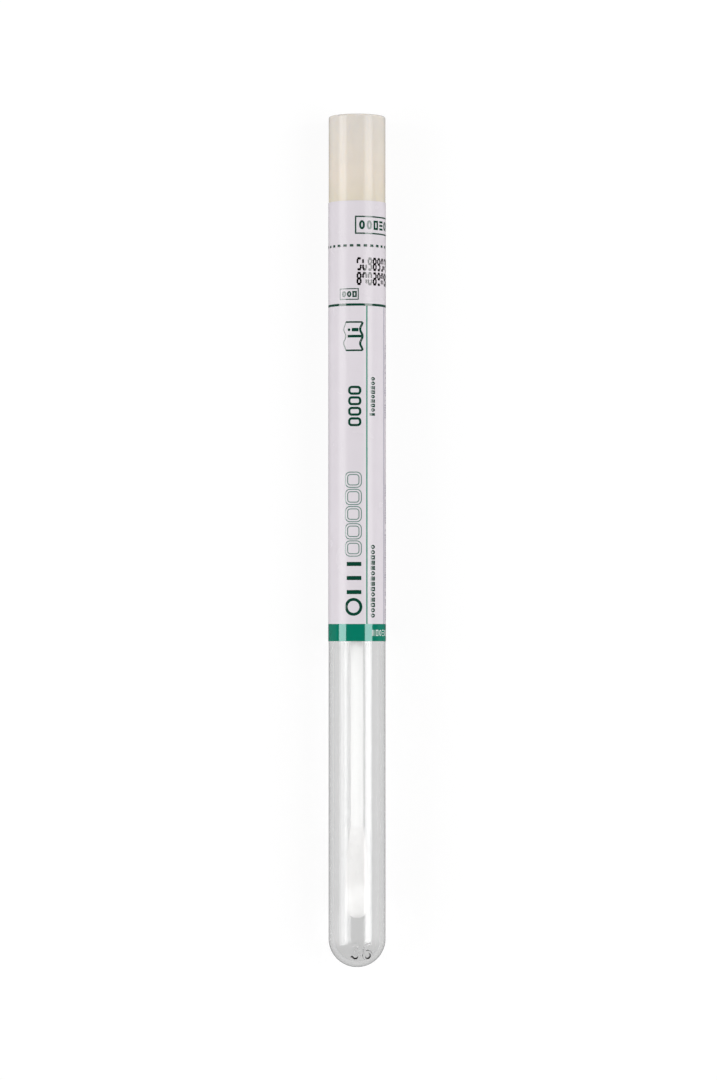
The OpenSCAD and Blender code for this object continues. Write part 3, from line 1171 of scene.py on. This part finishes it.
class SWABTUBE_OT_swab(bpy.types.Operator):
    """Make the bud and wind its fibres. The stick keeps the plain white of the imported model"""

    bl_idname = "swab_tube.swab"
    bl_label = "Swab"

    def execute(self, context):
        s = context.scene.swab_tube_swab
        fibre = wound_fibre(s)
        taper = BUD_R - STICK_R - s.lip
        rise = BUD_TOP - BUD_LOW - s.belly
        side_r = (rise ** 2 + taper ** 2) / (2 * taper)
        tip_r = sqrt(side_r ** 2 - (s.belly - BUD_R) ** 2) - (side_r - BUD_R)
        core = mesh_from(turned(self.outline(s, side_r, tip_r), BUD_SEGMENTS))
        piece(core, "wound_bud", fibre, SWAB_BODY, "swab_bud", sharp=60.0)
        shape = {
            "Low": BUD_LOW,
            "High": BUD_TOP - s.strand_r,
            "Belly": BUD_LOW + s.belly,
            "Belly Radius": BUD_R,
            "Side Radius": side_r,
            "Tip Radius": tip_r,
            "Material": fibre,
        }
        tree = fibres_tree()
        inputs = ("Strands", "Fibre", "Turns", "Reach", "Lift", "Seed")
        for name, *values in (
            ("wound_strands", s.strands, s.strand_r, s.strand_turns, s.strand_reach, 0.0, 3),
            ("stray_fibres", s.strays, s.stray_r, s.stray_turns, s.stray_reach, s.stray_lift, 8),
        ):
            mesh = mesh_of_tree(tree, {**shape, **dict(zip(inputs, values))})
            piece(mesh, name, fibre, SWAB_BODY, sharp=180.0)
        return {"FINISHED"}

    def outline(self, s, side_r, tip_r):
        """Half section of the bud under its strands: round tip, long taper, hollow for the stick."""
        inset_r = s.strand_r
        belly, tip = BUD_LOW + s.belly, BUD_LOW + tip_r
        points = [(0.0, BUD_LOW + inset_r)]
        points += arc((0, tip), tip_r - inset_r, -90, 0, TIP_STEPS)[1:]
        for i in range(1, TAPER_STEPS + 1):
            height = tip + (BUD_TOP - tip) * i / TAPER_STEPS
            points.append((sqrt(side_r ** 2 - (height - belly) ** 2) - (side_r - BUD_R) - inset_r, height))
        bore, floor = STICK_R + s.clearance, BUD_TOP - s.hollow
        points += [(bore, BUD_TOP), (bore, floor), (0.0, floor - s.hollow_point)]
        return points


def row_of_cuts(s, radius):
    """Pitch of the tear line's cuts at a radius, and the place of the first across the tube."""
    pitch = 2 * pi * radius / s.cuts
    return pitch, s.first_cut * radius - s.cuts_made // 2 * pitch


class SWABTUBE_OT_film(bpy.types.Operator):
    """Wrap the film round the tube and the cap, with the tear line's cuts between its two parts"""

    bl_idname = "swab_tube.film"
    bl_label = "Label Film"

    def execute(self, context):
        s = context.scene.swab_tube_label
        material, tree = label_film(s), film_tree()
        radius = FILM_R - 2 * s.ink - s.film / 2
        pitch, first = row_of_cuts(s, radius)
        values = {
            "Width": 2 * pi * radius - s.bare_strip,
            "Thickness": s.film,
            "Pitch": pitch,
            "First Cut": first,
            "Cut Length": s.cut_length,
            "Cut Width": s.cut_width,
            "Radius": radius,
            "Material": material,
        }
        for name, low, high, cuts, body, node in (
            ("label_sheet", LABEL_LOW, TEAR_LINE, s.cuts_made, TUBE_BODY, "label"),
            ("label_seal_sheet", TEAR_LINE, SEAL_TOP, 0, SWAB_BODY, "label_seal"),
        ):
            mesh = mesh_of_tree(tree, {**values, "Low": low, "High": high, "Count": cuts})
            piece(mesh, name, material, body, node)
        return {"FINISHED"}


class SWABTUBE_OT_print(bpy.types.Operator):
    """Lay the print's lines, fields and frames on the film"""

    bl_idname = "swab_tube.print"
    bl_label = "Print Lines"

    def execute(self, context):
        s = context.scene.swab_tube_label
        green = ink("green", s.green, GLOSSIEST, s.green_gleam)
        dark = ink("dark_green", s.dark_green)
        for name, draw, material, body in (
            ("label_rules", self.ring_line, dark, TUBE_BODY),
            ("first_rule", self.first_rule, ink("dull_green", s.green, DULL), TUBE_BODY),
            ("leaflet_sign", self.leaflet, dark, TUBE_BODY),
            ("figure_rings", self.figures, dark, TUBE_BODY),
            ("outlined_cells", self.cells, ink("pale_green", s.pale_green), TUBE_BODY),
            ("solid_bars", self.solids, dark, TUBE_BODY),
            ("green_band", self.band, green, TUBE_BODY),
            ("seal_box", self.seal, dark, SWAB_BODY),
            ("side_rule", self.side_rule, ink("blue_grey", s.blue_grey), TUBE_BODY),
        ):
            p = Print(s)
            draw(p)
            p.piece(name, material, body)
        return {"FINISHED"}

    def ring_line(self, p):
        """The line round the tube and the small box above it."""
        half = RING_LINE_WIDTH / 2
        p.field(Place(-p.reach, p.reach, RING_LINE - half, RING_LINE + half))
        p.outline(SMALL_BOX_PLACE, SMALL_BOX_WIDTH)

    def first_rule(self, p):
        """The green rule up the tube, from the band to the ring line."""
        top = RING_LINE - RING_LINE_WIDTH / 2
        p.strip([(FIRST_RULE, BAND_TOP), (FIRST_RULE, top)], FIRST_RULE_WIDTH)

    def side_rule(self, p):
        """The paler rule at the side."""
        p.strip([(SECOND_RULE, BAND_TOP), (SECOND_RULE, RING_LINE)], SECOND_RULE_WIDTH)

    def band(self, p):
        """The band round the label's lower end."""
        p.field(Place(-p.reach, p.reach, BAND_TOP - BAND_WIDTH, BAND_TOP))

    def seal(self, p):
        """The box on the part of the film that goes with the cap."""
        p.outline(SEAL_BOX_PLACE, SEAL_BOX_WIDTH)

    def leaflet(self, p):
        """An open leaflet on its side: two waved long sides, two straight ends, its fold, a dot and a bar."""
        left, right, low, high = LEAFLET_PLACE
        middle = (low + high) / 2
        steps, wave, fold_start = 24, 0.25, 0.9
        thin, thick, end_width, fold_width = 0.24, 0.46, 0.34, 0.55
        rises = [i / steps for i in range(steps + 1)]
        for edge, width in ((left, thin), (right, thick)):
            bows = [edge + wave * (1 + cos(4 * pi * rise)) for rise in rises]
            p.strip([(x, low + (high - low) * rise) for x, rise in zip(bows, rises)], width)
        for height in (low, high):
            p.strip([(left + 2 * wave, height), (right + 2 * wave, height)], end_width)
        p.strip([(left + fold_start, middle), (right + wave, middle)], fold_width)
        # The dot is a ring whose hole is too small to see. The bar stands to its right.
        dot_r, closing = 0.15, 0.98
        across, up = left + 1.2, high - 1.6
        bar_left, bar_right, bar_half = across + 0.6, right - 0.35, 0.36
        p.strip(arc((across, up), dot_r, 0, 360, 20)[:-1] + [(across + dot_r, up)], 2 * dot_r * closing)
        p.field(Place(bar_left, bar_right, up - bar_half, up + bar_half))

    def figures(self, p):
        """Four rounded rings along the tube, where large figures stand."""
        for place in in_line(FIGURES_PLACE, FIGURES):
            p.outline(inset(place, 0.0, FIGURE_INSET), FIGURES.width, FIGURES.corner)

    def cells(self, p):
        """A row of five thin rounded cells along the tube, each with a smaller one inside."""
        for place in in_line(CELLS_PLACE, CELLS):
            p.outline(place, CELLS.width, CELLS.corner)
            p.outline(inset(place, CELL_INSET, CELL_INSET), CELLS.width, INNER_CORNER)

    def solids(self, p):
        """Three solid bars below the cells, and a plain ring below them."""
        for place in in_line(BARS_PLACE, BARS):
            p.field(place)
        p.outline(RING_PLACE, RING_WIDTH, RING_CORNER)


class SWABTUBE_OT_marks(bpy.types.Operator):
    """Lay the rows of dashes, dots and fine print on the film"""

    bl_idname = "swab_tube.marks"
    bl_label = "Print Marks"

    def execute(self, context):
        s = context.scene.swab_tube_label
        inked = {"Radius": FILM_R - 1.5 * s.ink, "Ink": s.ink}
        self.dashes(s, inked)
        self.dots(s, inked)
        tree = marks_tree()
        for row in ROWS:
            material = ink(row.ink, getattr(s, row.ink))
            sizes = ("pitch", "wide", "tall", "stroke", "across", "along")
            values = {
                **inked,
                **{key.title(): getattr(row, key) * MM for key in sizes},
                **{key.title(): getattr(row, key) for key in ("count", "low", "gaps", "seed")},
                "Turn": 0.0 if row.upright else pi / 2,
                "Material": material,
            }
            if row.name == "band_words":
                # These lie on the band's ink.
                values["Radius"] += s.ink
            body = SWAB_BODY if row.along * MM > TEAR_LINE else TUBE_BODY
            piece(mesh_of_tree(tree, values), row.name, material, body)
        return {"FINISHED"}

    def dots(self, s, inked):
        """The two rows of dot print."""
        tree, material = dots_tree(), ink("black", s.black)
        sizes = {key: size * MM for key, size in DOT_SIZES.items()}
        for row in DOT_ROWS:
            own = {"Cells": row.cells, "Along": row.along * MM, "Seed": row.seed, "Material": material}
            mesh = mesh_of_tree(tree, {**inked, **sizes, **own})
            piece(mesh, row.name, material, TUBE_BODY)

    def dashes(self, s, inked):
        """The printed dashes over the tear line's cuts, part of each on the label and part on the seal."""
        tree, material = dashes_tree(), ink("dull_dark_green", s.dark_green, DULL)
        pitch, first = row_of_cuts(s, inked["Radius"])
        shared = {**inked, "Pitch": pitch, "Across": first, "Material": material}
        for name, body, low, high in (
            ("tear_dashes_lower", TUBE_BODY, TEAR_LINE - s.dash_below, TEAR_LINE - s.cut_width),
            ("tear_dashes_upper", SWAB_BODY, TEAR_LINE, TEAR_LINE + s.dash_above),
        ):
            own = {"Count": s.cuts_made, "Dash": s.dash_length, "Height": high - low, "Along": low}
            piece(mesh_of_tree(tree, {**shared, **own}), name, material, body)


class SWABTUBE_OT_stage(bpy.types.Operator):
    """Set the floor, the lights and the camera"""

    bl_idname = "swab_tube.stage"
    bl_label = "Stage"

    def execute(self, context):
        s = context.scene.swab_tube_stage
        self.floor(context, s)
        self.lights(context, s)
        self.world(context, s)
        self.camera(context, s)
        return {"FINISHED"}

    def floor(self, context, s):
        """A wide pale floor. The view of it is lifted to white, and its lit part keeps the shadow."""
        material, tree, surface, place = new_material("pale_floor")
        path = wires(tree, "ShaderNodeLightPath")
        seen = path["Is Camera Ray"]
        for ray, level in (("Is Transmission Ray", s.behind), ("Is Glossy Ray", s.mirrored)):
            seen = seen.math("MAXIMUM", path[ray] * level)
        shade = group(tree, "Mottle", Vector=place, Scale=3.0, Shade=rgba(s.floor_colour), Depth=0.01)
        mirrored = path["Is Glossy Ray"] - path["Is Transmission Ray"]
        principled(
            tree, surface,
            Base_Color=mix_colours(tree, mirrored, shade, rgba(s.floor_in_gloss)),
            Roughness=0.9, Specular_IOR_Level=0.0,
            Emission_Color=rgba(WHITE), Emission_Strength=seen * s.floor_lift,
        )
        bm = bmesh.new()
        bmesh.ops.create_grid(bm, x_segments=8, y_segments=8, size=s.floor_reach)
        mesh = mesh_from(bm)
        mesh.materials.append(material)
        material.cycles.emission_sampling = "NONE"
        floor = bpy.data.objects.new("floor", mesh)
        context.scene.collection.objects.link(floor)

    def lights(self, context, s):
        """A softbox to the left, one to the right, and a low strip that lights the cap's end."""
        middle = Vector((0.0, (s.softbox_high - s.softbox_low) / 2, AXIS_Z))
        tall = s.softbox_high + s.softbox_low
        for name, side, upper, lower, glow in (
            ("softbox_left", -1, s.left_upper, s.left_lower, s.left_glow),
            ("softbox_right", 1, s.right_upper, s.right_lower, s.right_glow),
        ):
            lean = (upper + lower) / 2
            wide = 2 * s.softbox_distance * tan((lower - upper) / 2)
            place = middle + Vector((side * sin(lean), 0.0, cos(lean))) * s.softbox_distance
            self.lamp(context, name, glow, wide, tall, place, (0.0, side * lean, 0.0))
        place = Vector((0.0, CAP_BOX[1].y + s.softbox_distance, s.end_tall / 2))
        spin = (-pi / 2, 0.0, 0.0)
        strip = self.lamp(context, "end_strip", s.end_glow, s.end_wide, s.end_tall, place, spin)
        strip.visible_camera = strip.visible_glossy = strip.visible_transmission = False

    def lamp(self, context, name, glow, wide, tall, place, spin):
        """A rectangular area lamp of a radiance."""
        lamp = bpy.data.lights.new(name, "AREA")
        lamp.shape = "RECTANGLE"
        lamp.size, lamp.size_y = wide, tall
        lamp.energy = glow * pi * wide * tall
        obj = bpy.data.objects.new(name, lamp)
        obj.location, obj.rotation_euler = place, spin
        context.scene.collection.objects.link(obj)
        return obj

    def world(self, context, s):
        """A soft light from the two sides, in a surround that is white where it is seen itself."""
        world = bpy.data.worlds.new("even_light")
        world.use_nodes = True
        world.cycles.sampling_method = "NONE"
        tree = world.node_tree
        path = wires(tree, "ShaderNodeLightPath")
        way = wires(tree, "ShaderNodeSeparateXYZ", {0: wires(tree, "ShaderNodeTexCoord")["Generated"]})["X"]
        fill = way * (way * s.fill_sides + s.fill_right) - s.dim
        strength = path["Is Diffuse Ray"] * fill + s.dim
        for ray, level in (("Is Camera Ray", 1.0), ("Is Transmission Ray", s.behind)):
            strength = path[ray] * (level - s.dim) + strength
        background = tree.nodes["Background"]
        background.inputs["Color"].default_value = rgba(WHITE)
        tree.links.new(strength.socket, background.inputs["Strength"])
        context.scene.world = world

    def camera(self, context, s):
        """A camera over the tube that looks down on it."""
        data = bpy.data.cameras.new("camera")
        data.sensor_fit = "VERTICAL"
        data.sensor_height = 24.0
        data.lens = data.sensor_height / 2 / tan(s.view_angle / 2)
        data.clip_start = 0.01
        data.clip_end = 20.0
        obj = bpy.data.objects.new("camera", data)
        obj.location = (s.camera_side, FOOT_Y + s.camera_height, AXIS_Z + s.camera_distance)
        lean = atan2(s.aim_height - s.camera_height, s.camera_distance)
        obj.rotation_euler = (lean, 0.0, 0.0)
        context.scene.collection.objects.link(obj)
        context.scene.camera = obj
        context.scene.view_settings.view_transform = "Standard"


class SWABTUBE_PT_panel(bpy.types.Panel):
    """Pieces, finishes and stage of the swab tube"""

    bl_idname = "SWABTUBE_PT_panel"
    bl_label = "Swab Tube"
    bl_space_type = "VIEW_3D"
    bl_region_type = "UI"
    bl_category = "Swab Tube"

    def draw(self, context):
        for operator in OPERATORS:
            self.layout.operator(operator.bl_idname)


SETTINGS = {
    "swab_tube_glass": SwabTubeGlass,
    "swab_tube_label": SwabTubeLabel,
    "swab_tube_swab": SwabTubeSwab,
    "swab_tube_cap": SwabTubeCap,
    "swab_tube_stage": SwabTubeStage,
}
OPERATORS = (
    SWABTUBE_OT_tube,
    SWABTUBE_OT_cap,
    SWABTUBE_OT_swab,
    SWABTUBE_OT_film,
    SWABTUBE_OT_print,
    SWABTUBE_OT_marks,
    SWABTUBE_OT_stage,
)


def register():
    """Registers the classes and the scene's settings."""
    for cls in (*SETTINGS.values(), *OPERATORS, SWABTUBE_PT_panel):
        bpy.utils.register_class(cls)
    for name, cls in SETTINGS.items():
        setattr(bpy.types.Scene, name, PointerProperty(type=cls))


def unregister():
    """Takes the classes and the settings away again."""
    for name in SETTINGS:
        delattr(bpy.types.Scene, name)
    for cls in reversed((*SETTINGS.values(), *OPERATORS, SWABTUBE_PT_panel)):
        bpy.utils.unregister_class(cls)


def main():
    """Makes every piece and the stage."""
    register()
    bpy.ops.swab_tube.tube()
    bpy.ops.swab_tube.cap()
    bpy.ops.swab_tube.swab()
    bpy.ops.swab_tube.film()
    bpy.ops.swab_tube.print()
    bpy.ops.swab_tube.marks()
    bpy.ops.swab_tube.stage()


if __name__ == "__main__":
    main()
